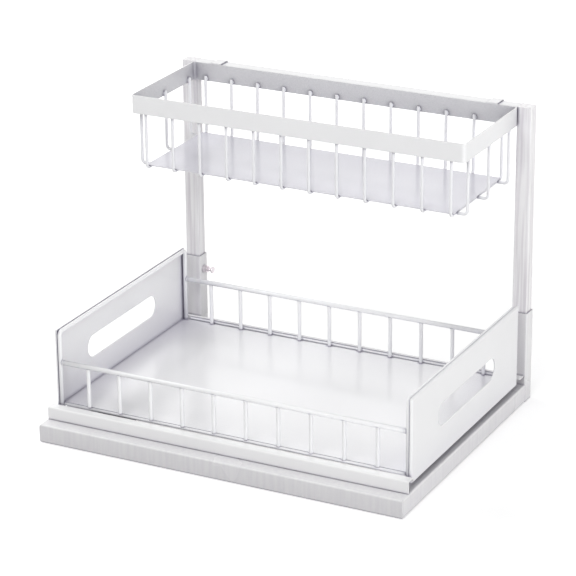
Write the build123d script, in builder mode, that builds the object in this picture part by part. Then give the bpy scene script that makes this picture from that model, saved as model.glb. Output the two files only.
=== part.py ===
from build123d import *
from math import cos, pi, sqrt
import os

# Pull-out cabinet basket: a fixed base frame with two uprights, a tray that rides out on two
# ball slides, and a wire basket that hangs on the bar between the uprights.
# Millimetres. X is the width, +Y runs to the back, +Z up. The origin is the middle of the
# footprint on the cabinet floor.

# ---------------------------------------------------------------- driving dimensions

# base frame
base_width = 400.0
base_depth = 320.0
frame_sheet = 1.2          # folded steel of the frame and the carriage
rail_height = 19.2
top_flange = 42.0          # upper flange of the front and side rails
bottom_flange = 60.0       # lower flange of the side rails, which takes the floor screws
bend_radius = 0.6          # inside radius of every fold in the sheet
gusset_leg = 70.0
gusset_width = 24.0
gusset_sheet = 1.5
floor_hole_radius = 2.25   # for 4 mm wood screws
floor_hole_side = 50.0     # from the side of the base to a screw
floor_hole_end = 60.0      # from the front and the back of the base to a screw

# uprights and their sleeves
sleeve_width = 18.6
sleeve_depth = 16.6
sleeve_top = 98.2
mast_top = 317.7
crossbar_height = 15.9
tube_wall = 1.2
tube_radius = 1.6          # outside corner radius of a sleeve
post_radius = 1.0          # outside corner radius of a post and the crossbar
slide_fit = 0.15           # play between a sleeve and its post, and between hook and crossbar
seat_gap = 0.1             # gap under a piece that only rests on another

# clamping thumbscrews
lock_height = 82.0
boss_radius = 3.8
boss_length = 5.3
thread_radius = 2.0
thread_clearance = 0.06
knob_radius = 3.6
knob_sheet = 1.8
knob_chamfer = 0.4
knob_reach = 11.8          # from the sleeve to the outer face of the knob

# ball slides, lying flat on the side rails
slide_width = 27.0
slide_height = 8.0
slide_sheet = 1.0
slide_side_run = 6.1       # between the tray's folded rim and the slide, seen from above
slide_start = 20.0         # from the front of the base to the slide
slide_end = 30.0           # from the slide to the back of the base
slide_corner = 2.2
slide_lip = 1.4            # inward lip over the balls
slide_bend = 2.0           # outside radius of the inner channel's folds
race_gap = 2.8             # between the walls of the two channels
ball_radius = 1.6
ball_clearance = 0.08      # between a ball and its groove or pocket
ball_pitch = 20.0
balls_per_row = 4
cage_sheet = 0.4
cage_margin = 6.0          # cage beyond its last balls
cage_run = 0.2             # between the cage and what is above or below it
bumper_length = 4.0
bumper_gap = 0.3

# carriage
step_set_back = 15.7
step_top = 32.3
step_flange = 11.4
step_gap = 0.4             # between the base and the carriage front
step_inset = 1.0           # carriage front inside the width of the base
rear_lip_inset = 26.7      # from the back of the base to the rear lip
rear_flange = 9.4
rear_inset = 2.0

# tray
tray_inset = 3.8           # from the side of the base to the tray
tray_set_back = 28.8       # from the front of the base to the tray
tray_rear_gap = 29.5       # from the tray to the back of the base
side_bottom = 24.7
side_top = 111.5
side_flange = 2.6          # turned edge of a side
side_sheet = 1.2
side_corner = 1.2          # inside radius of the turned edges
floor_sheet = 1.0
slot_length = 140.0
slot_height = 24.0
hoop_bend = 3.5            # radius of the hoop's bends, along the middle of the rod
top_rod_radius = 2.5
top_rod_height = 76.8
bottom_rod_radius = 1.5
front_sill_rise = 2.3      # middle of the front bottom rod over the floor
floor_front_gap = 8.9      # from the middle of the front fence to the floor's edge
fence_wire_radius = 2.0
fence_wires = 10
fence_wire_inset = 36.7    # from the side of the tray to the first wire
weld_gap = 0.1

# round rods and wires are drawn with this many flats, so that the model stays light
flat_count = 12

# a cut that only has to pass through a sheet
cut_length = 5.0

# hanging basket
rim_inset = 15.6           # from the side of the base to the rim
rim_depth = 132.7
rim_height = 19.1
rim_sheet = 1.5
rim_corner = 4.0
basket_wire_radius = 1.6
basket_wires = 12
long_wire_inset = 15.55    # from the end of the rim to the first long wire
basket_wire_lap = 5.8      # wire up the inside of the rim
basket_wire_bend = 2.6     # radius of the bend, along the middle of the wire
basket_drop = 76.5         # from the rim's top to the middle of the wires below
side_wires = 3
side_wire_inset = 15.35    # from the front of the rim to the first side wire
plate_inset = 13.4         # from the end of the rim to the plate
plate_corner = 2.0
basket_plate_sheet = 1.0
basket_plate_back_gap = 3.0
hook_sheet = 1.2
hook_bend = 0.6            # inside radius of the hook's fold
hook_width = 11.0
hook_inset = 27.4          # from the end of the rim to the middle of a hook
hook_drop = 15.0

# ---------------------------------------------------------------- places worked out from them

half_width = base_width / 2
front_y = -base_depth / 2
back_y = base_depth / 2
sleeve_front_y = back_y - sleeve_depth
sleeve_x = half_width - sleeve_width / 2
sleeve_y = back_y - sleeve_depth / 2
post_width = sleeve_width - 2 * (frame_sheet + slide_fit)
post_depth = sleeve_depth - 2 * (frame_sheet + slide_fit)
post_foot = frame_sheet + seat_gap
post_inner_x = sleeve_x - post_width / 2
post_front_y = sleeve_y - post_depth / 2
post_back_y = sleeve_y + post_depth / 2
sleeve_face_x = half_width - sleeve_width

slide_inset = tray_inset + side_flange + slide_side_run
slide_length = base_depth - slide_start - slide_end
slide_x = half_width - slide_inset - slide_width / 2
slide_bottom = rail_height
slide_front_y = front_y + slide_start
slide_back_y = slide_front_y + slide_length
slide_wall = slide_height - slide_sheet
ball_x = slide_width / 2 - slide_sheet - race_gap / 2
ball_z = slide_bottom + slide_wall - slide_sheet - ball_radius - seat_gap
inner_half = slide_width / 2 - slide_sheet - race_gap
cage_bottom = slide_bottom + slide_sheet + cage_run
cage_top = slide_bottom + slide_wall - slide_sheet - cage_run
inner_bottom = cage_bottom + cage_sheet + cage_run
slide_top = slide_bottom + slide_height
inner_length = slide_length - bumper_length - bumper_gap
inner_back_y = slide_front_y + inner_length

carriage_rail_top = slide_top + frame_sheet
carriage_front_y = front_y + step_set_back
carriage_lip_y = back_y - rear_lip_inset
carriage_back_y = carriage_lip_y + rear_flange

tray_front_y = front_y + tray_set_back
tray_back_y = back_y - tray_rear_gap
tray_half = half_width - tray_inset
tray_mid_y = (tray_front_y + tray_back_y) / 2
floor_bottom = carriage_rail_top + seat_gap
floor_top = floor_bottom + floor_sheet
flange_inner_x = tray_half - side_flange
hoop_x = flange_inner_x - top_rod_radius
rod_end_x = hoop_x - top_rod_radius - weld_gap
front_fence_y = tray_front_y + top_rod_radius
rear_fence_y = tray_back_y - top_rod_radius
front_sill_z = floor_top + front_sill_rise
rear_sill_y = rear_fence_y + fence_wire_radius + bottom_rod_radius
rear_sill_z = floor_bottom + bottom_rod_radius
floor_front_y = front_fence_y + floor_front_gap
floor_back_y = tray_back_y - side_sheet - weld_gap
fence_wire_pitch = 2 * (tray_half - fence_wire_inset) / (fence_wires - 1)

rim_width = base_width - 2 * rim_inset
rim_top = mast_top + slide_fit
rim_bottom = rim_top - rim_height
rim_back_y = post_front_y - slide_fit
rim_front_y = rim_back_y - rim_depth
rim_mid_y = (rim_front_y + rim_back_y) / 2
wire_front_y = rim_front_y + rim_sheet + basket_wire_radius
wire_back_y = rim_back_y - rim_sheet - basket_wire_radius
side_wire_x = rim_width / 2 - rim_sheet - basket_wire_radius
wire_end_z = rim_bottom + basket_wire_lap
wire_floor_z = rim_top - basket_drop
outer_wire_x = rim_width / 2 - long_wire_inset
long_wire_pitch = 2 * outer_wire_x / (basket_wires - 1)
side_wire_pitch = (rim_depth - 2 * side_wire_inset) / (side_wires - 1)
plate_half = rim_width / 2 - plate_inset
hook_x = rim_width / 2 - hook_inset

os.makedirs("parts", exist_ok=True)


# ---------------------------------------------------------------- helpers

def save(builder, label):
    """Names a finished piece and writes it."""
    builder.part.label = label
    export_step(builder.part, f"parts/{label}.step")


def save_pair(builder, label):
    """Writes a piece of the right side and its mirror image on the left."""
    with BuildPart() as twin:
        mirror(builder.part, about=Plane.YZ)
    save(builder, f"{label}_right")
    save(twin, f"{label}_left")


def across(y):
    """The plane at a depth y, looking to the back: X to the right, Z up."""
    return Plane(origin=(0, y, 0), x_dir=(1, 0, 0), z_dir=(0, -1, 0))


def along(x):
    """The plane at a width x: Y to the right, Z up, facing +X."""
    return Plane(origin=(x, 0, 0), x_dir=(0, 1, 0), z_dir=(1, 0, 0))


def folded(plane, points, sheet=frame_sheet, radius=bend_radius, side=Side.RIGHT):
    """The section of a folded sheet on a plane; the points follow one face of the sheet."""
    with BuildSketch(plane) as section:
        with BuildLine():
            FilletPolyline(*points, radius=radius)
            offset(amount=sheet, side=side)
        make_face()
    return section.sketch


def box_between(low, high, mode=Mode.ADD):
    """A box given by its two corners."""
    size = [top - bottom for bottom, top in zip(low, high)]
    middle = [(top + bottom) / 2 for bottom, top in zip(low, high)]
    with Locations(Vector(*middle)):
        Box(*size, mode=mode)


def rod(centre, axis, radius, length, mode=Mode.ADD):
    """A round bar, or with Mode.SUBTRACT a round hole, centred on a point along an axis."""
    with BuildSketch(Plane(origin=centre, z_dir=axis)) as section:
        Circle(radius)
    extrude(section.sketch, amount=length / 2, both=True, mode=mode)


def bar(centre, axis, radius, length):
    """A straight piece of round wire, drawn with flats."""
    with BuildSketch(Plane(origin=centre, z_dir=axis)) as section:
        RegularPolygon(radius, flat_count)
    extrude(section.sketch, amount=length / 2, both=True)


def bent_wire(points, radius, bend):
    """A round wire through the points, drawn with flats; each corner turns in two chords."""
    points = [Vector(*point) for point in points]
    path = [points[0]]
    for before, corner, after in zip(points, points[1:], points[2:]):
        into = (corner - before).normalized()
        out = (after - corner).normalized()
        path += [
            corner - into * bend,
            corner + (out - into) * bend * (1 - cos(pi / 4)),
            corner + out * bend,
        ]
    path.append(points[-1])
    with BuildLine() as wire_path:
        Polyline(*path)
    with BuildSketch(Plane(origin=path[0], z_dir=path[1] - path[0])) as section:
        RegularPolygon(radius, flat_count)
    sweep(section.sketch, path=wire_path.line, transition=Transition.RIGHT)


def ball_grooves():
    """Cuts the two grooves in which the balls of a slide run."""
    groove_radius = ball_radius + ball_clearance
    for side in (-1, 1):
        middle = (slide_x + side * ball_x, slide_front_y + slide_length / 2, ball_z)
        rod(middle, (0, 1, 0), groove_radius, slide_length, Mode.SUBTRACT)


def floor_hole_centres():
    """The four screw places in the floor of the cabinet."""
    hole_x = half_width - floor_hole_side
    hole_y = back_y - floor_hole_end
    return [(x, y) for x in (-hole_x, hole_x) for y in (-hole_y, hole_y)]


# ---------------------------------------------------------------- base frame

web_x = half_width - frame_sheet
rail_section = [
    (half_width - bottom_flange, frame_sheet),
    (web_x, frame_sheet),
    (web_x, rail_height - frame_sheet),
    (half_width - top_flange, rail_height - frame_sheet),
]
mitre = Plane(origin=(half_width, front_y, 0), z_dir=(1, 1, 0))

with BuildPart() as side_frame:
    extrude(folded(across(front_y), rail_section), amount=sleeve_front_y - front_y, dir=(0, 1, 0))
    split(bisect_by=mitre, keep=Keep.TOP)
    for x, y in floor_hole_centres():
        rod((x, y, 0), (0, 0, 1), floor_hole_radius, cut_length, Mode.SUBTRACT)
    with BuildSketch(Plane.XY) as sleeve_outline:
        with Locations((sleeve_x, sleeve_y)):
            RectangleRounded(sleeve_width, sleeve_depth, tube_radius)
    extrude(sleeve_outline.sketch, amount=sleeve_top)
    with BuildSketch(Plane.XY.offset(frame_sheet)) as sleeve_bore:
        with Locations((sleeve_x, sleeve_y)):
            Rectangle(sleeve_width - 2 * frame_sheet, sleeve_depth - 2 * frame_sheet)
    extrude(sleeve_bore.sketch, amount=sleeve_top, mode=Mode.SUBTRACT)
    lock_hole = (sleeve_face_x, sleeve_y, lock_height)
    rod(lock_hole, (1, 0, 0), thread_radius + 2 * thread_clearance, cut_length, Mode.SUBTRACT)
save_pair(side_frame, "side_frame")

front_section = [
    (front_y + top_flange, frame_sheet),
    (front_y + frame_sheet, frame_sheet),
    (front_y + frame_sheet, rail_height - frame_sheet),
    (front_y + top_flange, rail_height - frame_sheet),
]
mitre_left = Plane(origin=(-half_width, front_y, 0), z_dir=(-1, 1, 0))

with BuildPart() as front_rail:
    extrude(folded(along(-half_width), front_section, side=Side.LEFT), amount=base_width)
    split(bisect_by=mitre, keep=Keep.BOTTOM)
    split(bisect_by=mitre_left, keep=Keep.BOTTOM)
save(front_rail, "front_rail")

rear_section = [
    (sleeve_front_y, frame_sheet),
    (back_y - frame_sheet, frame_sheet),
    (back_y - frame_sheet, rail_height - frame_sheet),
    (sleeve_front_y, rail_height - frame_sheet),
]
with BuildPart() as rear_rail:
    extrude(folded(along(-sleeve_face_x), rear_section), amount=2 * sleeve_face_x)
save(rear_rail, "rear_rail")

gusset_x = web_x - bend_radius
gusset_y = front_y + frame_sheet + bend_radius
with BuildPart() as corner_gusset:
    with BuildSketch(Plane.XY.offset(frame_sheet)):
        with BuildLine():
            Polyline(
                (gusset_x, gusset_y),
                (gusset_x, gusset_y + gusset_leg),
                (gusset_x - gusset_width, gusset_y + gusset_leg),
                (gusset_x - gusset_width, gusset_y + gusset_width),
                (gusset_x - gusset_leg, gusset_y + gusset_width),
                (gusset_x - gusset_leg, gusset_y),
                close=True,
            )
        make_face()
    extrude(amount=gusset_sheet)
    chamfer(corner_gusset.edges().filter_by(Axis.Z), length=gusset_sheet)
save_pair(corner_gusset, "corner_gusset")

with BuildPart() as lock_boss:
    boss_middle = (sleeve_face_x - boss_length / 2, sleeve_y, lock_height)
    rod(boss_middle, (1, 0, 0), boss_radius, boss_length)
    rod(boss_middle, (1, 0, 0), thread_radius + thread_clearance, 2 * boss_length, Mode.SUBTRACT)
save_pair(lock_boss, "lock_boss")

# ---------------------------------------------------------------- ball slides

with BuildPart() as slide_outer:
    with BuildSketch(across(slide_front_y)) as outer_section:
        with Locations((slide_x, slide_bottom + slide_wall / 2)):
            RectangleRounded(slide_width, slide_wall, slide_corner)
            RectangleRounded(
                slide_width - 2 * slide_sheet,
                slide_wall - 2 * slide_sheet,
                slide_corner - slide_sheet,
                mode=Mode.SUBTRACT,
            )
        with Locations((slide_x, slide_bottom + slide_wall)):
            Rectangle(
                slide_width - 2 * (slide_sheet + slide_lip), 3 * slide_sheet, mode=Mode.SUBTRACT
            )
    extrude(amount=slide_length, dir=(0, 1, 0))
    ball_grooves()
save_pair(slide_outer, "slide_outer")

with BuildPart() as slide_bumper:
    with BuildSketch(across(slide_back_y)) as bumper_section:
        with Locations((slide_x, slide_bottom + slide_sheet)):
            Rectangle(
                slide_width - 2 * slide_corner - 2 * slide_sheet,
                slide_wall - 2 * slide_sheet,
                align=(Align.CENTER, Align.MIN),
            )
    extrude(amount=bumper_length, dir=(0, -1, 0))
save_pair(slide_bumper, "slide_bumper")

cage_mid_y = (slide_front_y + slide_back_y) / 2
cage_half = ball_pitch * (balls_per_row - 1) / 2 + cage_margin
ball_places = [
    (slide_x + row * ball_x, cage_mid_y + (i - (balls_per_row - 1) / 2) * ball_pitch, ball_z)
    for row in (-1, 1)
    for i in range(balls_per_row)
]
cage_height = cage_top - cage_bottom
cage_width = 2 * ball_x + cage_sheet
with BuildPart() as ball_cage:
    with BuildSketch(across(cage_mid_y)):
        with Locations((slide_x, cage_bottom)):
            Rectangle(cage_width, cage_height, align=(Align.CENTER, Align.MIN))
        with Locations((slide_x, cage_bottom + cage_sheet)):
            Rectangle(
                cage_width - 2 * cage_sheet,
                cage_height,
                align=(Align.CENTER, Align.MIN),
                mode=Mode.SUBTRACT,
            )
    extrude(amount=cage_half, both=True)
    pocket = 2 * (ball_radius + ball_clearance)
    with Locations(*ball_places):
        Box(2 * cage_sheet, pocket, pocket, mode=Mode.SUBTRACT)
save_pair(ball_cage, "ball_cage")

# a ball is drawn as a cube with its edges cut off, so that all its corners lie on the sphere;
# flat_ratio is the width of the cube over the width of the flat left on a face
flat_ratio = 1 + sqrt(2)
ball_half = ball_radius * flat_ratio / sqrt(2 + flat_ratio**2)
with BuildPart() as slide_balls:
    with Locations(*ball_places):
        Box(2 * ball_half, 2 * ball_half, 2 * ball_half)
    chamfer(slide_balls.edges(), length=ball_half * (1 - 1 / flat_ratio))
save_pair(slide_balls, "slide_balls")

inner_section_points = [
    (slide_x - inner_half, inner_bottom),
    (slide_x - inner_half, slide_top),
    (slide_x + inner_half, slide_top),
    (slide_x + inner_half, inner_bottom),
]
with BuildPart() as slide_inner:
    inner_fold = folded(across(slide_front_y), inner_section_points, slide_sheet, slide_bend)
    extrude(inner_fold, amount=inner_length, dir=(0, 1, 0))
    ball_grooves()
save_pair(slide_inner, "slide_inner")

# ---------------------------------------------------------------- carriage

carriage_rail_front_y = carriage_front_y + frame_sheet
with BuildPart() as carriage_rail:
    box_between(
        (slide_x - slide_width / 2, carriage_rail_front_y, slide_top),
        (slide_x + slide_width / 2, carriage_back_y, carriage_rail_top),
    )
save_pair(carriage_rail, "carriage_rail")

step_half = half_width - step_inset
step_bottom = rail_height + step_gap
step_back_y = carriage_front_y + step_flange
with BuildPart() as carriage_front:
    step_points = [
        (carriage_front_y, step_bottom),
        (carriage_front_y, step_top),
        (step_back_y, step_top),
        (step_back_y, carriage_rail_top),
    ]
    step_fold = folded(along(-step_half), step_points, radius=bend_radius + frame_sheet)
    extrude(step_fold, amount=2 * step_half)
save(carriage_front, "carriage_front")

rear_half = half_width - rear_inset
with BuildPart() as carriage_rear:
    rear_points = [
        (carriage_lip_y, step_top),
        (carriage_lip_y, carriage_rail_top),
        (carriage_back_y, carriage_rail_top),
    ]
    rear_fold = folded(along(-rear_half), rear_points, side=Side.LEFT)
    extrude(rear_fold, amount=2 * rear_half)
save(carriage_rear, "carriage_rear")

# ---------------------------------------------------------------- tray

with BuildPart() as tray_side:
    box_between(
        (flange_inner_x, tray_front_y, side_bottom), (tray_half, tray_back_y, side_top)
    )
    outer_edges = tray_side.edges().filter_by(Axis.Z).group_by(Axis.X)[-1]
    top_edges = tray_side.faces().sort_by(Axis.Z)[-1].edges().group_by(Axis.X)[-1]
    fillet(outer_edges + top_edges, radius=side_corner + side_sheet)
    box_between(
        (flange_inner_x, tray_front_y + side_sheet, side_bottom),
        (tray_half - side_sheet, tray_back_y - side_sheet, side_top - side_sheet),
        mode=Mode.SUBTRACT,
    )
    with BuildSketch(along(tray_half)) as slot_outline:
        with Locations((tray_mid_y, (side_bottom + side_top) / 2)):
            SlotOverall(slot_length, slot_height)
    extrude(slot_outline.sketch, amount=cut_length, both=True, mode=Mode.SUBTRACT)
save_pair(tray_side, "tray_side")

hoop_top = side_top - top_rod_radius
with BuildPart() as side_hoop:
    hoop_corners = [
        (hoop_x, front_fence_y, floor_top),
        (hoop_x, front_fence_y, hoop_top),
        (hoop_x, rear_fence_y, hoop_top),
        (hoop_x, rear_fence_y, floor_top),
    ]
    bent_wire(hoop_corners, top_rod_radius, hoop_bend)
save_pair(side_hoop, "side_hoop")

floor_half = tray_half - side_sheet
with BuildPart() as tray_floor:
    with BuildSketch(Plane.XY.offset(floor_bottom)) as floor_outline:
        with Locations((0, (floor_front_y + floor_back_y) / 2)):
            Rectangle(2 * floor_half, floor_back_y - floor_front_y)
    extrude(floor_outline.sketch, amount=floor_sheet)
    for side in (-1, 1):
        lip_x = side * (floor_half - floor_sheet / 2)
        box_between(
            (lip_x - floor_sheet / 2, floor_front_y, side_bottom),
            (lip_x + floor_sheet / 2, floor_back_y, floor_bottom),
        )
save(tray_floor, "tray_floor")

fence_places = [(i - (fence_wires - 1) / 2) * fence_wire_pitch for i in range(fence_wires)]
for label, fence_y, wire_bottom, sill_y, sill_z in (
    ("front", front_fence_y, front_sill_z + bottom_rod_radius, front_fence_y, front_sill_z),
    ("rear", rear_fence_y, floor_top, rear_sill_y, rear_sill_z),
):
    with BuildPart() as fence_rod:
        bar((0, fence_y, top_rod_height), (1, 0, 0), top_rod_radius, 2 * rod_end_x)
        wire_length = top_rod_height - wire_bottom
        for x in fence_places:
            wire_middle = (x, fence_y, wire_bottom + wire_length / 2)
            bar(wire_middle, (0, 0, 1), fence_wire_radius, wire_length)
    save(fence_rod, f"{label}_fence")
    with BuildPart() as bottom_rod:
        bar((0, sill_y, sill_z), (1, 0, 0), bottom_rod_radius, 2 * rod_end_x)
    save(bottom_rod, f"{label}_sill_rod")

# ---------------------------------------------------------------- uprights and crossbar

with BuildPart() as post:
    with BuildSketch(Plane.XY.offset(post_foot)) as post_outline:
        with Locations((sleeve_x, sleeve_y)):
            RectangleRounded(post_width, post_depth, post_radius)
    extrude(post_outline.sketch, amount=mast_top - post_foot)
    with BuildSketch(Plane.XY.offset(post_foot)) as post_bore:
        with Locations((sleeve_x, sleeve_y)):
            Rectangle(post_width - 2 * tube_wall, post_depth - 2 * tube_wall)
    extrude(post_bore.sketch, amount=mast_top - post_foot - tube_wall, mode=Mode.SUBTRACT)
save_pair(post, "post")

with BuildPart() as crossbar:
    with BuildSketch(along(-post_inner_x)) as crossbar_outline:
        with Locations((sleeve_y, mast_top - crossbar_height / 2)):
            RectangleRounded(post_depth, crossbar_height, post_radius)
            Rectangle(
                post_depth - 2 * tube_wall, crossbar_height - 2 * tube_wall, mode=Mode.SUBTRACT
            )
    extrude(crossbar_outline.sketch, amount=2 * post_inner_x)
save(crossbar, "crossbar")

with BuildPart() as thumbscrew:
    tip_x = sleeve_face_x + frame_sheet - thread_clearance
    knob_x = sleeve_face_x - knob_reach
    shank_middle = ((tip_x + knob_x) / 2, sleeve_y, lock_height)
    rod(shank_middle, (1, 0, 0), thread_radius, tip_x - knob_x)
    rod((knob_x + knob_sheet / 2, sleeve_y, lock_height), (1, 0, 0), knob_radius, knob_sheet)
    chamfer(thumbscrew.edges().group_by(Axis.X)[0], length=knob_chamfer)
save_pair(thumbscrew, "thumbscrew")

# ---------------------------------------------------------------- hanging basket

with BuildPart() as basket_rim:
    with BuildSketch(Plane.XY.offset(rim_bottom)) as rim_outline:
        with Locations((0, rim_mid_y)):
            RectangleRounded(rim_width, rim_depth, rim_corner)
            RectangleRounded(
                rim_width - 2 * rim_sheet,
                rim_depth - 2 * rim_sheet,
                rim_corner - rim_sheet,
                mode=Mode.SUBTRACT,
            )
    extrude(rim_outline.sketch, amount=rim_height)
save(basket_rim, "basket_rim")

with BuildPart() as long_wires:
    for i in range(basket_wires):
        x = (i - (basket_wires - 1) / 2) * long_wire_pitch
        corners = [
            (x, wire_front_y, wire_end_z),
            (x, wire_front_y, wire_floor_z),
            (x, wire_back_y, wire_floor_z),
            (x, wire_back_y, wire_end_z),
        ]
        bent_wire(corners, basket_wire_radius, basket_wire_bend)
save(long_wires, "long_wires")

with BuildPart() as end_wires:
    foot_x = outer_wire_x + basket_wire_radius + weld_gap
    for i in range(side_wires):
        y = rim_mid_y + (i - (side_wires - 1) / 2) * side_wire_pitch
        corners = [
            (side_wire_x, y, wire_end_z),
            (side_wire_x, y, wire_floor_z),
            (foot_x, y, wire_floor_z),
        ]
        bent_wire(corners, basket_wire_radius, basket_wire_bend)
save_pair(end_wires, "end_wires")

plate_bottom = wire_floor_z + basket_wire_radius
with BuildPart() as basket_plate:
    box_between(
        (-plate_half, wire_front_y + basket_wire_bend, plate_bottom),
        (
            plate_half,
            wire_back_y - basket_wire_bend - basket_plate_back_gap,
            plate_bottom + basket_plate_sheet,
        ),
    )
    fillet(basket_plate.edges().filter_by(Axis.Z), radius=plate_corner)
save(basket_plate, "basket_plate")

hook_points = [
    (rim_back_y - rim_sheet, rim_top),
    (post_back_y + slide_fit, rim_top),
    (post_back_y + slide_fit, rim_top - hook_drop),
]
with BuildPart() as hook:
    hook_plane = along(hook_x - hook_width / 2)
    hook_fold = folded(hook_plane, hook_points, hook_sheet, hook_bend, Side.LEFT)
    extrude(hook_fold, amount=hook_width)
save_pair(hook, "hook")
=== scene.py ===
import math

import bpy
import numpy as np
from mathutils import Matrix, Vector


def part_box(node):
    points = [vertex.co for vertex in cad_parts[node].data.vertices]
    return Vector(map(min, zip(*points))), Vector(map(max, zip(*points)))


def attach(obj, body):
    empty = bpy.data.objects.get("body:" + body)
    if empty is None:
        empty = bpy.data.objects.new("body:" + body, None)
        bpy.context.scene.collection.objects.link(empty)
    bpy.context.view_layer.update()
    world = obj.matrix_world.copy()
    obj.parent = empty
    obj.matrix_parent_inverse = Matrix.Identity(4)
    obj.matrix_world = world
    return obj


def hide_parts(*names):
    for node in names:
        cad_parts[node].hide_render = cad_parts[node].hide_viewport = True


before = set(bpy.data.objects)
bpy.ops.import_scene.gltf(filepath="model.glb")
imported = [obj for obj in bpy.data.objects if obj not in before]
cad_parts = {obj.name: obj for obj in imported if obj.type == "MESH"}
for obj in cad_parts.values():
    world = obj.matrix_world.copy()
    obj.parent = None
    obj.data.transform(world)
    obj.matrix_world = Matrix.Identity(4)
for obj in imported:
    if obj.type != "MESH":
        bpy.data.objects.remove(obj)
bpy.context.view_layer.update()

# A white two-tier organizer for a kitchen cabinet: folded sheet and welded wire under powder coat.
# Pieces are written in millimetres and turned to metres where a mesh is made.
# The camera and the studio are in metres.
MM = 0.001

# ---------------------------------------------------------------- camera, at the photograph's angle

FRAME_PIXELS = 576
SENSOR_WIDTH = 36.0
FOCAL_PIXELS = 2674.1
PRINCIPAL_POINT = (312.2, 284.7)
CAMERA_PLACE = (1.1386, -2.2222, 1.1228)
CAMERA_RIGHT = (0.89501, 0.44602, -0.00454)
CAMERA_UP = (-0.15856, 0.32766, 0.93140)
CAMERA_SIGHT = 50.0


def place_camera():
    """The camera: its axes are the columns of its matrix, and the principal point its shift."""
    data = bpy.data.cameras.new("photo_camera")
    data.sensor_width = SENSOR_WIDTH
    data.lens = FOCAL_PIXELS * SENSOR_WIDTH / FRAME_PIXELS
    data.shift_x = 0.5 - PRINCIPAL_POINT[0] / FRAME_PIXELS
    data.shift_y = PRINCIPAL_POINT[1] / FRAME_PIXELS - 0.5
    data.clip_end = CAMERA_SIGHT
    camera = bpy.data.objects.new("photo_camera", data)
    right, up = Vector(CAMERA_RIGHT).normalized(), Vector(CAMERA_UP)
    back = right.cross(up).normalized()
    up = back.cross(right)
    turn = Matrix((right, up, back)).transposed().to_4x4()
    camera.matrix_world = Matrix.Translation(CAMERA_PLACE) @ turn
    bpy.context.scene.collection.objects.link(camera)
    bpy.context.scene.camera = camera


place_camera()

# ---------------------------------------------------------------- colours and nodes

WHITE = "#FFFFFF"


def linear(hex_colour):
    """An sRGB hex colour as linear RGBA."""
    channels = [int(hex_colour[i : i + 2], 16) / 255 for i in (1, 3, 5)]
    return (*[c / 12.92 if c <= 0.04045 else ((c + 0.055) / 1.055) ** 2.4 for c in channels], 1.0)


def add(tree, kind, values=None, links=None, stops=(), **settings):
    """Adds one node: settings are its properties, values its sockets, links its incoming wires.

    stops are the (position, hex colour) pairs of a colour ramp's two ends.
    """
    node = tree.nodes.new(kind)
    for name, value in settings.items():
        setattr(node, name, value)
    for socket, value in (values or {}).items():
        node.inputs[socket].default_value = value
    for socket, source in (links or {}).items():
        tree.links.new(source, node.inputs[socket])
    for index, (position, colour) in enumerate(stops):
        node.color_ramp.elements[index].position = position
        node.color_ramp.elements[index].color = linear(colour)
    return node


def blank_material(name):
    """A material with an empty node tree."""
    material = bpy.data.materials.new(name)
    material.use_nodes = True
    material.node_tree.nodes.clear()
    return material


# Powder coat. The peel is about 1.5 mm from bump to bump, and drawn coarser so that it shows.
PEEL_SIZE = 2.4
PEEL_SIZE_ON_WIRE = 1.8
PEEL_HEIGHT = 0.002
PEEL_STRENGTH = 0.3
# the coat's thickness drifts over about a hand's width
DRIFT_SIZE = 90
ROUGHNESS_DRIFT = 0.03
COAT_IOR = 1.5
COAT_MIRROR = 0.5
# how far edges are rounded, and how sharply their painted highlight turns white
EDGE_REACH = 0.7
EDGE_SHARPNESS = 6.0
SHADE_SAMPLES = 6
# how open a point is, from 0 to 1, where a hollow or a joint takes its full shade, and where none
HOLLOW_CLOSED = 0.3
JOINT_CLOSED = 0.4
ALL_OPEN = 0.97


def edge_highlight_mask(tree, reach, sharpness):
    """1 on sharp edges and 0 on flats: how far the rounded normal leans away from the true one."""
    rounded = add(tree, "ShaderNodeBevel", {"Radius": reach}, samples=SHADE_SAMPLES)
    geometry = add(tree, "ShaderNodeNewGeometry")
    lean = add(
        tree,
        "ShaderNodeVectorMath",
        links={0: rounded.outputs["Normal"], 1: geometry.outputs["Normal"]},
        operation="DOT_PRODUCT",
    )
    away = add(
        tree,
        "ShaderNodeMath",
        {0: 1.0},
        {1: lean.outputs["Value"]},
        operation="SUBTRACT",
    )
    mask = add(
        tree,
        "ShaderNodeMath",
        {1: sharpness},
        {0: away.outputs[0]},
        operation="MULTIPLY",
        use_clamp=True,
    )
    return mask, rounded


def corner_shade(tree, colour, reach, closed, closed_colour):
    """The colour, darkened where other surfaces close a point in within reach millimetres.

    The real coat hasn't this: it paints in the soft shade that the photograph shows in hollows and
    round joints, and that these lamps leave out.
    """
    opening = add(
        tree, "ShaderNodeAmbientOcclusion", {"Distance": reach * MM}, samples=SHADE_SAMPLES
    )
    shade = add(
        tree,
        "ShaderNodeValToRGB",
        links={"Fac": opening.outputs["AO"]},
        stops=[(closed, closed_colour), (ALL_OPEN, WHITE)],
    )
    return add(
        tree,
        "ShaderNodeMix",
        {"Factor": 1.0},
        {"A": colour, "B": shade.outputs["Color"]},
        data_type="RGBA",
        blend_type="MULTIPLY",
    ).outputs["Result"]


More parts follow.
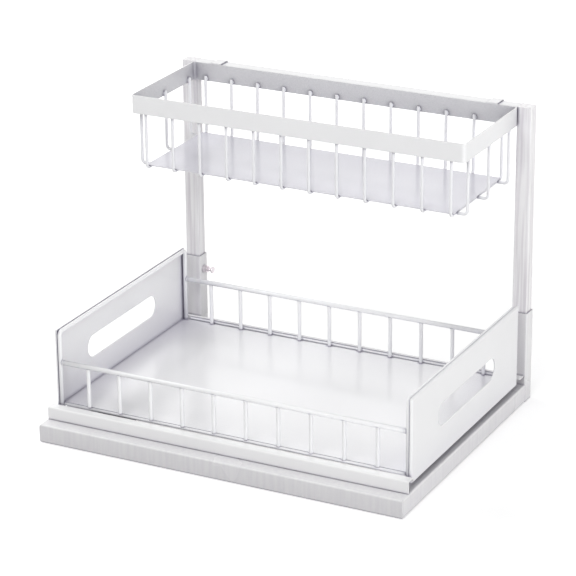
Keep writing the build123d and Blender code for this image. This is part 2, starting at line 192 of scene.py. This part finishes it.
def painted_reflection_streaks(tree, place, colour, streak_colour, lengths):
    """The colour with faint darker lines painted in as streaky reflections, of lengths along x, y
    and z.
    """
    stretched = add(
        tree,
        "ShaderNodeMapping",
        {"Scale": [1 / (length * MM) for length in lengths]},
        {"Vector": place},
    )
    lines = add(
        tree,
        "ShaderNodeTexNoise",
        {"Scale": 1.0, "Detail": 3.0, "Roughness": 0.5},
        {"Vector": stretched.outputs["Vector"]},
    )
    reflection_streaks = add(
        tree,
        "ShaderNodeValToRGB",
        links={"Fac": lines.outputs["Fac"]},
        stops=[(0.35, streak_colour), (0.6, WHITE)],
    )
    return add(
        tree,
        "ShaderNodeMix",
        {"Factor": 1.0},
        {"A": colour, "B": reflection_streaks.outputs["Color"]},
        data_type="RGBA",
        blend_type="MULTIPLY",
    ).outputs["Result"]


def powder_coat(
    name,
    colour,
    thin_colour,
    roughness,
    hollow,
    joint,
    peel=PEEL_SIZE,
    mirror=COAT_MIRROR,
    streaks=None,
):
    """Polyester powder coat on steel, baked on, so it flows into a faint orange peel.

    To the eye: a soft white with broad, slightly broken reflections, and a painted highlight that
    whitens the edges.
    hollow and joint are the reach and colour of the painted shade, and streaks the colour and
    lengths of the painted streaky reflections.
    """
    material = blank_material(name)
    tree = material.node_tree
    place = add(tree, "ShaderNodeTexCoord").outputs["Object"]
    peel_noise = add(
        tree,
        "ShaderNodeTexNoise",
        {"Scale": 1 / (peel * MM), "Detail": 2.0, "Roughness": 0.45},
        {"Vector": place},
    )
    drift = add(
        tree,
        "ShaderNodeTexNoise",
        {"Scale": 1 / (DRIFT_SIZE * MM), "Detail": 3.0, "Roughness": 0.5},
        {"Vector": place},
    )
    tone = add(
        tree,
        "ShaderNodeValToRGB",
        links={"Fac": drift.outputs["Fac"]},
        stops=[(0.3, thin_colour), (0.7, colour)],
    )
    drawn = tone.outputs["Color"]
    # painted reflection: faint darker streaks along the piece
    if streaks:
        drawn = painted_reflection_streaks(tree, place, drawn, *streaks)
    mask, rounded = edge_highlight_mask(tree, EDGE_REACH * MM, EDGE_SHARPNESS)
    # painted highlight: sharp edges turn white, as if each fold caught a lamp
    coat = add(
        tree,
        "ShaderNodeMix",
        {"B": linear(WHITE)},
        {"Factor": mask.outputs[0], "A": drawn},
        data_type="RGBA",
    ).outputs["Result"]
    coat = corner_shade(tree, coat, hollow[0], HOLLOW_CLOSED, hollow[1])
    coat = corner_shade(tree, coat, joint[0], JOINT_CLOSED, joint[1])
    rough = add(
        tree,
        "ShaderNodeMapRange",
        {
            "From Min": 0.3,
            "From Max": 0.7,
            "To Min": roughness - ROUGHNESS_DRIFT,
            "To Max": roughness + ROUGHNESS_DRIFT,
        },
        {"Value": drift.outputs["Fac"]},
    )
    bump = add(
        tree,
        "ShaderNodeBump",
        {"Strength": PEEL_STRENGTH, "Distance": PEEL_HEIGHT * MM},
        {"Height": peel_noise.outputs["Fac"], "Normal": rounded.outputs["Normal"]},
    )
    shader = add(
        tree,
        "ShaderNodeBsdfPrincipled",
        {"IOR": COAT_IOR, "Metallic": 0.0, "Specular IOR Level": mirror},
        {
            "Base Color": coat,
            "Roughness": rough.outputs["Result"],
            "Normal": bump.outputs["Normal"],
        },
    )
    add(tree, "ShaderNodeOutputMaterial", links={"Surface": shader.outputs["BSDF"]})
    return material


def plated_steel(name, colour, dark_colour, roughness, grain=(1.0, 1.0, 1.0), grain_size=6.0):
    """Plated or ground steel: a metal with a fine grain, which streaks its reflections."""
    material = blank_material(name)
    tree = material.node_tree
    place = add(tree, "ShaderNodeTexCoord").outputs["Object"]
    stretched = add(tree, "ShaderNodeMapping", {"Scale": grain}, {"Vector": place})
    streaks = add(
        tree,
        "ShaderNodeTexNoise",
        {"Scale": 1 / (grain_size * MM), "Detail": 4.0, "Roughness": 0.6},
        {"Vector": stretched.outputs["Vector"]},
    )
    tone = add(
        tree,
        "ShaderNodeValToRGB",
        links={"Fac": streaks.outputs["Fac"]},
        stops=[(0.3, dark_colour), (0.7, colour)],
    )
    rough = add(
        tree,
        "ShaderNodeMapRange",
        {"From Min": 0.25, "From Max": 0.75, "To Min": roughness * 0.8, "To Max": roughness * 1.3},
        {"Value": streaks.outputs["Fac"]},
    )
    bump = add(
        tree,
        "ShaderNodeBump",
        {"Strength": 0.25, "Distance": 0.01 * MM},
        {"Height": streaks.outputs["Fac"]},
    )
    shader = add(
        tree,
        "ShaderNodeBsdfPrincipled",
        {"Metallic": 1.0},
        {
            "Base Color": tone.outputs["Color"],
            "Roughness": rough.outputs["Result"],
            "Normal": bump.outputs["Normal"],
        },
    )
    add(tree, "ShaderNodeOutputMaterial", links={"Surface": shader.outputs["BSDF"]})
    return material


def moulded_rubber(name):
    """Moulded black rubber: dull, with a fine grain from the mould and a greyish bloom."""
    material = blank_material(name)
    tree = material.node_tree
    place = add(tree, "ShaderNodeTexCoord").outputs["Object"]
    grain = add(
        tree,
        "ShaderNodeTexNoise",
        {"Scale": 1 / (0.8 * MM), "Detail": 3.0},
        {"Vector": place},
    )
    tone = add(
        tree,
        "ShaderNodeValToRGB",
        links={"Fac": grain.outputs["Fac"]},
        stops=[(0.3, "#191919"), (0.8, "#2C2B2B")],
    )
    bump = add(
        tree,
        "ShaderNodeBump",
        {"Strength": 0.4, "Distance": 0.03 * MM},
        {"Height": grain.outputs["Fac"]},
    )
    shader = add(
        tree,
        "ShaderNodeBsdfPrincipled",
        {"IOR": 1.52, "Roughness": 0.75},
        {"Base Color": tone.outputs["Color"], "Normal": bump.outputs["Normal"]},
    )
    add(tree, "ShaderNodeOutputMaterial", links={"Surface": shader.outputs["BSDF"]})
    return material


# All these are one white coat. Their colours are painted light and shade: with their painted
# shades, they differ piece by piece to match how light each piece is in the photograph.
coat_on_sheet = powder_coat(
    "powder_coat_on_folded_sheet",
    colour="#F5F5F6",
    thin_colour="#F2F2F3",
    roughness=0.18,
    hollow=(70, "#E0DEE6"),
    joint=(4, "#BFBDC7"),
)
coat_on_rim = powder_coat(
    "powder_coat_on_basket_rim",
    colour="#F5F5F6",
    thin_colour="#F2F2F3",
    roughness=0.20,
    hollow=(150, "#96949F"),
    joint=(6, "#A5A3AF"),
)
coat_on_floor = powder_coat(
    "powder_coat_on_tray_floor",
    colour="#F9F9FA",
    thin_colour="#F6F6F7",
    roughness=0.19,
    hollow=(70, "#D4D2DB"),
    joint=(4, "#ABA9B5"),
)
coat_on_step = powder_coat(
    "powder_coat_on_carriage_front",
    colour="#F8F8F8",
    thin_colour="#F6F6F6",
    roughness=0.24,
    hollow=(70, "#F7F6F8"),
    joint=(2.5, "#C9C7D0"),
)
coat_on_frame = powder_coat(
    "powder_coat_on_base_frame",
    colour="#F1F1F1",
    thin_colour="#EEEEEE",
    roughness=0.26,
    hollow=(70, "#E2E0E4"),
    joint=(2.5, "#BFBDC6"),
    # painted streaky reflections, long along z
    streaks=("#FAF9FB", (4, 4, 60)),
)
coat_on_tube = powder_coat(
    "powder_coat_on_rectangular_tube",
    colour="#FAF9FA",
    thin_colour="#F6F5F6",
    roughness=0.14,
    hollow=(70, "#EFEEF2"),
    joint=(3, "#ABA9B5"),
    # painted streaky reflections, long along z
    streaks=("#EAE7EA", (3, 3, 90)),
)
coat_on_plate = powder_coat(
    "powder_coat_on_basket_plate",
    colour="#EBEAF1",
    thin_colour="#E5E4EB",
    roughness=0.18,
    hollow=(90, "#B9B7C3"),
    joint=(5, "#A5A3AF"),
)
# rods and wires mirror less, so that they stand out from the white background
coat_on_rod = powder_coat(
    "powder_coat_on_tray_rods",
    colour="#FDFDFE",
    thin_colour="#FBFBFC",
    roughness=0.24,
    hollow=(70, "#F8F8FB"),
    joint=(3, "#C9C7D1"),
    peel=PEEL_SIZE_ON_WIRE,
    mirror=0.3,
)
coat_on_wire = powder_coat(
    "powder_coat_on_basket_wire",
    colour="#F2F2F4",
    thin_colour="#EFEFF2",
    roughness=0.28,
    hollow=(70, "#F6F6F9"),
    joint=(3, "#BDBBC6"),
    peel=PEEL_SIZE_ON_WIRE,
    mirror=0.15,
)
zinc = plated_steel("bright_zinc_plate", "#C6C9CE", "#AEB2B8", 0.32, (1.0, 0.06, 1.0))
bearing_steel = plated_steel("polished_bearing_steel", "#CFD0D3", "#C2C3C7", 0.12)
nickel = plated_steel("nickel_plated_screw", "#EFE9EC", "#DDD4DA", 0.24, (0.2, 1.0, 1.0), 1.5)
rubber = moulded_rubber("moulded_black_rubber")

FINISHES = {
    coat_on_frame: (
        "side_frame_left",
        "side_frame_right",
        "front_rail",
        "rear_rail",
        "corner_gusset_left",
        "corner_gusset_right",
    ),
    coat_on_step: (
        "carriage_front",
        "carriage_rear",
        "carriage_rail_left",
        "carriage_rail_right",
    ),
    coat_on_sheet: (
        "crossbar",
        "tray_side_left",
        "tray_side_right",
        "hook_left",
        "hook_right",
    ),
    coat_on_floor: ("tray_floor",),
    coat_on_rim: ("basket_rim",),
    coat_on_plate: ("basket_plate",),
    coat_on_tube: ("post_left", "post_right"),
    coat_on_rod: (
        "side_hoop_left",
        "side_hoop_right",
        "front_fence",
        "rear_fence",
        "front_sill_rod",
        "rear_sill_rod",
    ),
    coat_on_wire: ("long_wires", "end_wires_left", "end_wires_right"),
    zinc: (
        "slide_outer_left",
        "slide_outer_right",
        "slide_inner_left",
        "slide_inner_right",
        "ball_cage_left",
        "ball_cage_right",
    ),
    bearing_steel: ("slide_balls_left", "slide_balls_right"),
    nickel: ("thumbscrew_left", "thumbscrew_right", "lock_boss_left", "lock_boss_right"),
    rubber: ("slide_bumper_left", "slide_bumper_right"),
}


def dress_nodes():
    """Gives every CAD node the finish of its real piece."""
    for material, names in FINISHES.items():
        for name in names:
            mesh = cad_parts[name].data
            mesh.materials.clear()
            mesh.materials.append(material)


dress_nodes()

# ---------------------------------------------------------------- surfaces from formulas

DOME_RINGS = 4
DOME_TIP = 0.02
AXIS_TOO_UPRIGHT = 0.1


def grid_faces(rows, columns):
    """Quads between neighbouring rows of points, closed round the columns."""
    row, column = np.meshgrid(np.arange(rows - 1), np.arange(columns), indexing="ij")
    near, far = row * columns, (row + 1) * columns
    after = (column + 1) % columns
    return np.stack([near + column, near + after, far + after, far + column], -1).reshape(-1, 4)


def tube(path, radius, side, sides=20, dome=0.35):
    """A round bar: each ring is path + radius (cos t (tangent x side) + sin t side).

    The path lies in the plane that side is normal to. Its two ends shrink to a flattened dome,
    whose last ring, a small share of the bar's radius wide, is closed by one face.
    """
    path = np.asarray(path, float)
    side = np.asarray(side, float)
    radius = np.broadcast_to(radius, len(path)).astype(float)
    run = np.gradient(path, axis=0)
    run /= np.linalg.norm(run, axis=1, keepdims=True)
    rise = np.linspace(0, np.pi / 2, DOME_RINGS + 1)[1:]
    head, tail = np.cos(rise), np.sin(rise) * dome
    first = path[0] - run[0] * (radius[0] * tail)[::-1, None]
    last = path[-1] + run[-1] * (radius[-1] * tail)[:, None]
    middle = np.vstack([first, path, last])
    spread = np.concatenate([(radius[0] * head)[::-1], radius, radius[-1] * head])
    spread = np.maximum(spread, radius.min() * DOME_TIP)
    along = np.vstack([np.repeat(run[:1], DOME_RINGS, 0), run, np.repeat(run[-1:], DOME_RINGS, 0)])
    across = np.cross(along, side)
    turn = np.linspace(0, 2 * np.pi, sides, endpoint=False)[None, :, None]
    ring = np.cos(turn) * across[:, None] + np.sin(turn) * side
    points = middle[:, None] + spread[:, None, None] * ring
    faces = [tuple(f) for f in grid_faces(len(middle), sides)[:, ::-1]]
    count = len(middle) * sides
    faces.append(tuple(range(sides)))
    faces.append(tuple(range(count - 1, count - 1 - sides, -1)))
    return points.reshape(-1, 3), faces


def turned(start, axis, profile, sides=32):
    """A turned piece: a profile of (distance along the axis, radius), turned round the axis."""
    start, axis = np.asarray(start, float), np.asarray(axis, float)
    profile = np.asarray(profile, float)
    first = np.cross(axis, (0.0, 0.0, 1.0))
    if np.linalg.norm(first) < AXIS_TOO_UPRIGHT:
        first = np.array((1.0, 0.0, 0.0))
    first /= np.linalg.norm(first)
    second = np.cross(axis, first)
    turn = np.linspace(0, 2 * np.pi, sides, endpoint=False)[None, :, None]
    ring = np.cos(turn) * first + np.sin(turn) * second
    points = start + profile[:, :1, None] * axis + profile[:, 1:, None] * ring
    faces = [tuple(f) for f in grid_faces(len(profile), sides)]
    return points.reshape(-1, 3), faces + end_faces(len(profile), sides)


def rounded_path(corners, bend, steps=8):
    """Straight runs with each right-angle corner replaced by a quarter circle of radius bend."""
    corners = np.asarray(corners, float)
    runs = [corners[:1]]
    swing = np.linspace(0, np.pi / 2, steps + 1)[:, None]
    for before, corner, after in zip(corners, corners[1:], corners[2:]):
        into = (corner - before) / np.linalg.norm(corner - before)
        out = (after - corner) / np.linalg.norm(after - corner)
        centre = corner - into * bend + out * bend
        runs.append(centre + bend * (np.sin(swing) * into - np.cos(swing) * out))
    runs.append(corners[-1:])
    return np.vstack(runs)


def end_faces(rows, sides):
    """The two faces that close a grid at its first and last row."""
    count = rows * sides
    return [tuple(range(sides - 1, -1, -1)), tuple(range(count - sides, count))]


def blob(centre, sizes, rows=7, sides=14):
    """A weld bead: an ellipsoid with half sizes along x, y and z."""
    tilt = np.linspace(-np.pi / 2, np.pi / 2, rows + 2)[1:-1, None]
    turn = np.linspace(0, 2 * np.pi, sides, endpoint=False)[None, :]
    unit = np.stack(
        [
            np.cos(tilt) * np.cos(turn),
            np.cos(tilt) * np.sin(turn),
            np.sin(tilt) * np.ones_like(turn),
        ],
        -1,
    )
    points = (np.asarray(centre, float) + unit * np.asarray(sizes, float)).reshape(-1, 3)
    faces = [tuple(f) for f in grid_faces(rows, sides)]
    return points, faces + end_faces(rows, sides)


def make_piece(name, parts, material, body, replaced=()):
    """One object from several surfaces in millimetres: smooth, dressed, riding on its body."""
    points, faces, start = [], [], 0
    for part_points, part_faces in parts:
        points.append(part_points)
        faces += [tuple(int(i) + start for i in face) for face in part_faces]
        start += len(part_points)
    mesh = bpy.data.meshes.new(name)
    mesh.from_pydata((np.vstack(points) * MM).tolist(), [], faces)
    mesh.shade_smooth()
    mesh.materials.append(material)
    mesh.update()
    piece = bpy.data.objects.new(name, mesh)
    bpy.context.scene.collection.objects.link(piece)
    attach(piece, body)
    if replaced:
        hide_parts(*replaced)


def node_box(name):
    """A node's lowest and highest corners in millimetres."""
    low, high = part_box(name)
    return np.array(low) / MM, np.array(high) / MM


X, Y, Z = np.eye(3)
FLAT_END = 0.05

# ---------------------------------------------------------------- rails and hoops of the tray

ROD_RADIUS = 2.5
ROD_SIDES = 28
ROD_BEAD_OUT = 0.1
ROD_BEAD = (1.0, 2.9, 2.9)
FENCE_WIRE_RADIUS = 2.0
FENCE_WIRE_SIDES = 20
FENCE_WIRES = 10
FENCE_WIRE_INSET = 36.7
FENCE_WIRE_FOOT = 1.5
# (distance below the rod's axis, radius added to the wire's) up to the joint
WELD_FLARE = ((4.2, 0.0), (3.2, 0.12), (2.5, 0.42), (1.6, 0.75))
SILL_RADIUS = 1.5
SILL_SIDES = 20
# thinner than the solids' 2.5 mm, which looked too heavy beside the photograph
HOOP_RADIUS = 2.2
HOOP_SIDES = 24
HOOP_BEND = 4.2


def fence(name, node, sill, tray_half):
    """A top rod with ten upright wires butt-welded under it, each flaring at its joint."""
    low, high = node_box(node)
    y = (low[1] + high[1]) / 2
    rod_z = high[2] - ROD_RADIUS
    half = (high[0] - low[0]) / 2
    rod = [(-half, y, rod_z), (0, y, rod_z), (half, y, rod_z)]
    parts = [tube(rod, ROD_RADIUS, Y, ROD_SIDES, FLAT_END)]
    for side in (-1, 1):
        parts.append(blob((side * (half + ROD_BEAD_OUT), y, rod_z), ROD_BEAD))
    spacing = 2 * (tray_half - FENCE_WIRE_INSET) / (FENCE_WIRES - 1)
    heights = [low[2], low[2] + FENCE_WIRE_FOOT, *(rod_z - below for below, _ in WELD_FLARE)]
    swell = np.array([0.0, 0.0, *(added for _, added in WELD_FLARE)])
    for i in range(FENCE_WIRES):
        x = (i - (FENCE_WIRES - 1) / 2) * spacing
        path = [(x, y, height) for height in heights]
        parts.append(tube(path, FENCE_WIRE_RADIUS + swell, Y, FENCE_WIRE_SIDES, FLAT_END))
    make_piece(name, parts, coat_on_rod, "tray", (node,))
    low, high = node_box(sill)
    middle = (low + high) / 2
    path = [(low[0], middle[1], middle[2]), middle, (high[0], middle[1], middle[2])]
    bar = tube(path, SILL_RADIUS, Y, SILL_SIDES, FLAT_END)
    make_piece(name + "_sill", [bar], coat_on_rod, "tray", (sill,))


def hoop(node):
    """The round rod along the inside of a tray side: up, over and down again."""
    low, high = node_box(node)
    outer = max(low[0], high[0], key=abs)
    x = outer - math.copysign(HOOP_RADIUS, outer)
    front, back, top = low[1] + HOOP_RADIUS, high[1] - HOOP_RADIUS, high[2] - HOOP_RADIUS
    corners = [(x, front, low[2]), (x, front, top), (x, back, top), (x, back, low[2])]
    rod = tube(rounded_path(corners, HOOP_BEND), HOOP_RADIUS, X, HOOP_SIDES, FLAT_END)
    make_piece("round_" + node, [rod], coat_on_rod, "tray", (node,))


tray_half = node_box("tray_side_right")[1][0]
fence("front_wire_rail", "front_fence", "front_sill_rod", tray_half)
fence("rear_wire_rail", "rear_fence", "rear_sill_rod", tray_half)
hoop("side_hoop_left")
hoop("side_hoop_right")

# ---------------------------------------------------------------- wires of the hanging basket

BASKET_WIRE_RADIUS = 1.6
BASKET_WIRE_SIDES = 20
BASKET_WIRE_DOME = 0.3
BASKET_WIRES = 12
BASKET_WIRE_PITCH = 30.7
BASKET_WIRE_DROP = 0.5
BASKET_BEND = 4.2
END_WIRES = 3
END_WIRE_PITCH = 51.0
# beads between wire and rim: place, and half sizes along the rim, through it and upward
BEAD_OUT = 1.2
BEAD_DROP = 3.2
BEAD_ALONG, BEAD_THROUGH, BEAD_UP = 2.3, 1.1, 2.6


def basket_wires():
    """Twelve U wires from front to rear and three J wires at each end, with their weld beads."""
    low, high = node_box("long_wires")
    r = BASKET_WIRE_RADIUS
    front, back, under, top = low[1] + r, high[1] - r, low[2] + r, high[2]
    tip, bead_z = top - BASKET_WIRE_DROP, top - BEAD_DROP
    wires, beads = [], []
    for i in range(BASKET_WIRES):
        x = (i - (BASKET_WIRES - 1) / 2) * BASKET_WIRE_PITCH
        corners = [(x, front, tip), (x, front, under), (x, back, under), (x, back, tip)]
        path = rounded_path(corners, BASKET_BEND)
        wires.append(tube(path, r, X, BASKET_WIRE_SIDES, BASKET_WIRE_DOME))
        for y in (front - BEAD_OUT, back + BEAD_OUT):
            beads.append(blob((x, y, bead_z), (BEAD_ALONG, BEAD_THROUGH, BEAD_UP)))
    make_piece("basket_long_wires", wires, coat_on_wire, "basket", ("long_wires",))
    rim_low, rim_high = node_box("basket_rim")
    middle = (rim_low[1] + rim_high[1]) / 2
    for side, node in ((-1, "end_wires_left"), (1, "end_wires_right")):
        low, high = node_box(node)
        outer = (high[0] - r) if side > 0 else (low[0] + r)
        inner = low[0] if side > 0 else high[0]
        ends = []
        for i in range(END_WIRES):
            y = middle + (i - (END_WIRES - 1) / 2) * END_WIRE_PITCH
            corners = [(outer, y, tip), (outer, y, under), (inner, y, under)]
            path = rounded_path(corners, BASKET_BEND)
            ends.append(tube(path, r, Y, BASKET_WIRE_SIDES, BASKET_WIRE_DOME))
            bead = (outer + side * BEAD_OUT, y, bead_z)
            beads.append(blob(bead, (BEAD_THROUGH, BEAD_ALONG, BEAD_UP)))
        make_piece("basket_" + node, ends, coat_on_wire, "basket", (node,))
    make_piece("basket_weld_beads", beads, coat_on_wire, "basket")


basket_wires()

# ---------------------------------------------------------------- balls and thumbscrews

BALL_RADIUS = 1.6
BALL_RINGS, BALL_SIDES = 11, 20
# half the width of the cut cube that stands for a ball in the solids
BALL_FLAT_HALF = 1.3806
BALLS_PER_ROW = 4


def balls(side_name):
    """The balls of one slide, round where the CAD has them faceted."""
    node = f"slide_balls_{side_name}"
    low, high = node_box(node)
    z = (low[2] + high[2]) / 2
    first, last = low[1] + BALL_FLAT_HALF, high[1] - BALL_FLAT_HALF
    sizes = (BALL_RADIUS, BALL_RADIUS, BALL_RADIUS)
    parts = []
    for x in (low[0] + BALL_FLAT_HALF, high[0] - BALL_FLAT_HALF):
        for y in np.linspace(first, last, BALLS_PER_ROW):
            parts.append(blob((x, y, z), sizes, BALL_RINGS, BALL_SIDES))
    name, body = f"round_balls_{side_name}", f"cage_{side_name}"
    make_piece(name, parts, bearing_steel, body, (node,))


balls("left")
balls("right")

SCREW_TIP_RADIUS = 1.6
THREAD_START, THREAD_END = 0.2, 4.2
THREAD_HALF_PITCH = 0.35
THREAD_CREST = 2.0
THREAD_DEPTH = 0.16
# neck and head: (distance back from the head's face, radius)
HEAD_PROFILE = (
    (4.0, 1.75),
    (2.4, 1.75),
    (1.9, 2.6),
    (1.7, 3.35),
    (1.35, 3.6),
    (0.4, 3.6),
    (0.05, 3.3),
    (0.0, 2.9),
    (0.1, 2.4),
    (0.45, 1.2),
    (0.5, 0.02),
)


def thumbscrew(side_name):
    """A turned screw: threaded shank, neck, and a thin round head with a shallow dish."""
    node = f"thumbscrew_{side_name}"
    low, high = node_box(node)
    side = 1 if side_name == "right" else -1
    tip = high[0] if side > 0 else low[0]
    length = high[0] - low[0]
    start = (tip, (low[1] + high[1]) / 2, (low[2] + high[2]) / 2)
    thread = np.arange(THREAD_START, length - THREAD_END, THREAD_HALF_PITCH)
    crest = THREAD_CREST - THREAD_DEPTH * (np.arange(len(thread)) % 2)
    profile = [(0.0, SCREW_TIP_RADIUS), *zip(thread, crest)]
    profile += [(length - back, radius) for back, radius in HEAD_PROFILE]
    part = turned(start, (-side, 0.0, 0.0), profile)
    make_piece(f"turned_{node}", [part], nickel, f"lock_{side_name}", (node,))


thumbscrew("left")
thumbscrew("right")

# ---------------------------------------------------------------- studio

ROOM_COLOUR, ROOM_LIGHT = "#F5F5F5", 0.24
FLOOR_COLOUR, FLOOR_GLOW = "#E0E0E0", 0.45
FLOOR_HALF = 6.0
# just under the object's feet, so that the two don't share a plane
FLOOR_DROP = 0.0002
# the floor turns all white between these distances from the middle
FLOOR_FADE = (0.5, 1.5)
LAMP_AIM = (0.0, 0.0, 0.12)
# (place, width, power in watts), with powers fitted to flat areas of the photograph
LAMPS = {
    "right_panel": ((2.4, -0.6, 0.45), 1.6, 37.0),
    "front_panel": ((0.3, -1.7, 1.9), 1.4, 24.5),
    "left_panel": ((-1.9, 0.2, 1.5), 1.6, 29.0),
    "back_panel": ((-0.9, 1.9, 1.7), 1.6, 8.0),
}


def soft_panel(name, place, size, power):
    """A square soft white light that faces the middle of the object."""
    data = bpy.data.lights.new(name, "AREA")
    data.shape = "SQUARE"
    data.size = size
    data.energy = power
    lamp = bpy.data.objects.new(name, data)
    turn = (Vector(LAMP_AIM) - Vector(place)).to_track_quat("-Z", "Y")
    lamp.matrix_world = Matrix.Translation(place) @ turn.to_matrix().to_4x4()
    bpy.context.scene.collection.objects.link(lamp)


def seen_rays(tree):
    """1 for camera, see-through and mirrored rays, 0 for the rays that carry light."""
    path = add(tree, "ShaderNodeLightPath")
    eye = add(
        tree,
        "ShaderNodeMath",
        links={0: path.outputs["Is Camera Ray"], 1: path.outputs["Is Transmission Ray"]},
        operation="MAXIMUM",
    )
    return add(
        tree,
        "ShaderNodeMath",
        links={0: eye.outputs[0], 1: path.outputs["Is Glossy Ray"]},
        operation="MAXIMUM",
    ).outputs[0]


def make_world():
    """A white room: plain white to the eye, an even light for the object."""
    world = bpy.data.worlds.new("white_room")
    world.use_nodes = True
    tree = world.node_tree
    tree.nodes.clear()
    light = add(
        tree, "ShaderNodeBackground", {"Color": linear(ROOM_COLOUR), "Strength": ROOM_LIGHT}
    )
    white = add(tree, "ShaderNodeBackground", {"Color": linear(WHITE), "Strength": 1.0})
    both = add(
        tree,
        "ShaderNodeMixShader",
        links={0: seen_rays(tree), 1: light.outputs[0], 2: white.outputs[0]},
    )
    add(tree, "ShaderNodeOutputWorld", links={"Surface": both.outputs[0]})
    bpy.context.scene.world = world


def make_floor():
    """A pale floor: white to the eye but where the object shades it, and all white further out."""
    reach = FLOOR_HALF
    mesh = bpy.data.meshes.new("studio_floor")
    corners = [(-reach, -reach, 0), (reach, -reach, 0), (reach, reach, 0), (-reach, reach, 0)]
    mesh.from_pydata(corners, [], [(0, 1, 2, 3)])
    material = blank_material("pale_studio_floor")
    tree = material.node_tree
    paint = add(tree, "ShaderNodeBsdfDiffuse", {"Color": linear(FLOOR_COLOUR)})
    place = add(tree, "ShaderNodeTexCoord").outputs["Object"]
    away = add(tree, "ShaderNodeVectorMath", links={0: place}, operation="LENGTH")
    strength = add(
        tree,
        "ShaderNodeMapRange",
        {
            "From Min": FLOOR_FADE[0],
            "From Max": FLOOR_FADE[1],
            "To Min": FLOOR_GLOW,
            "To Max": 1.0,
        },
        {"Value": away.outputs["Value"]},
    )
    glow = add(
        tree,
        "ShaderNodeEmission",
        {"Color": linear(WHITE)},
        {"Strength": strength.outputs["Result"]},
    )
    lit = add(tree, "ShaderNodeAddShader", links={0: paint.outputs[0], 1: glow.outputs[0]})
    shown = add(
        tree,
        "ShaderNodeMixShader",
        links={0: seen_rays(tree), 1: paint.outputs[0], 2: lit.outputs[0]},
    )
    add(tree, "ShaderNodeOutputMaterial", links={"Surface": shown.outputs[0]})
    mesh.materials.append(material)
    floor = bpy.data.objects.new("studio_floor", mesh)
    floor.location.z = -FLOOR_DROP
    bpy.context.scene.collection.objects.link(floor)


make_world()
make_floor()
for lamp_name, lamp_settings in LAMPS.items():
    soft_panel(lamp_name, *lamp_settings)
bpy.context.scene.view_settings.view_transform = "Standard"
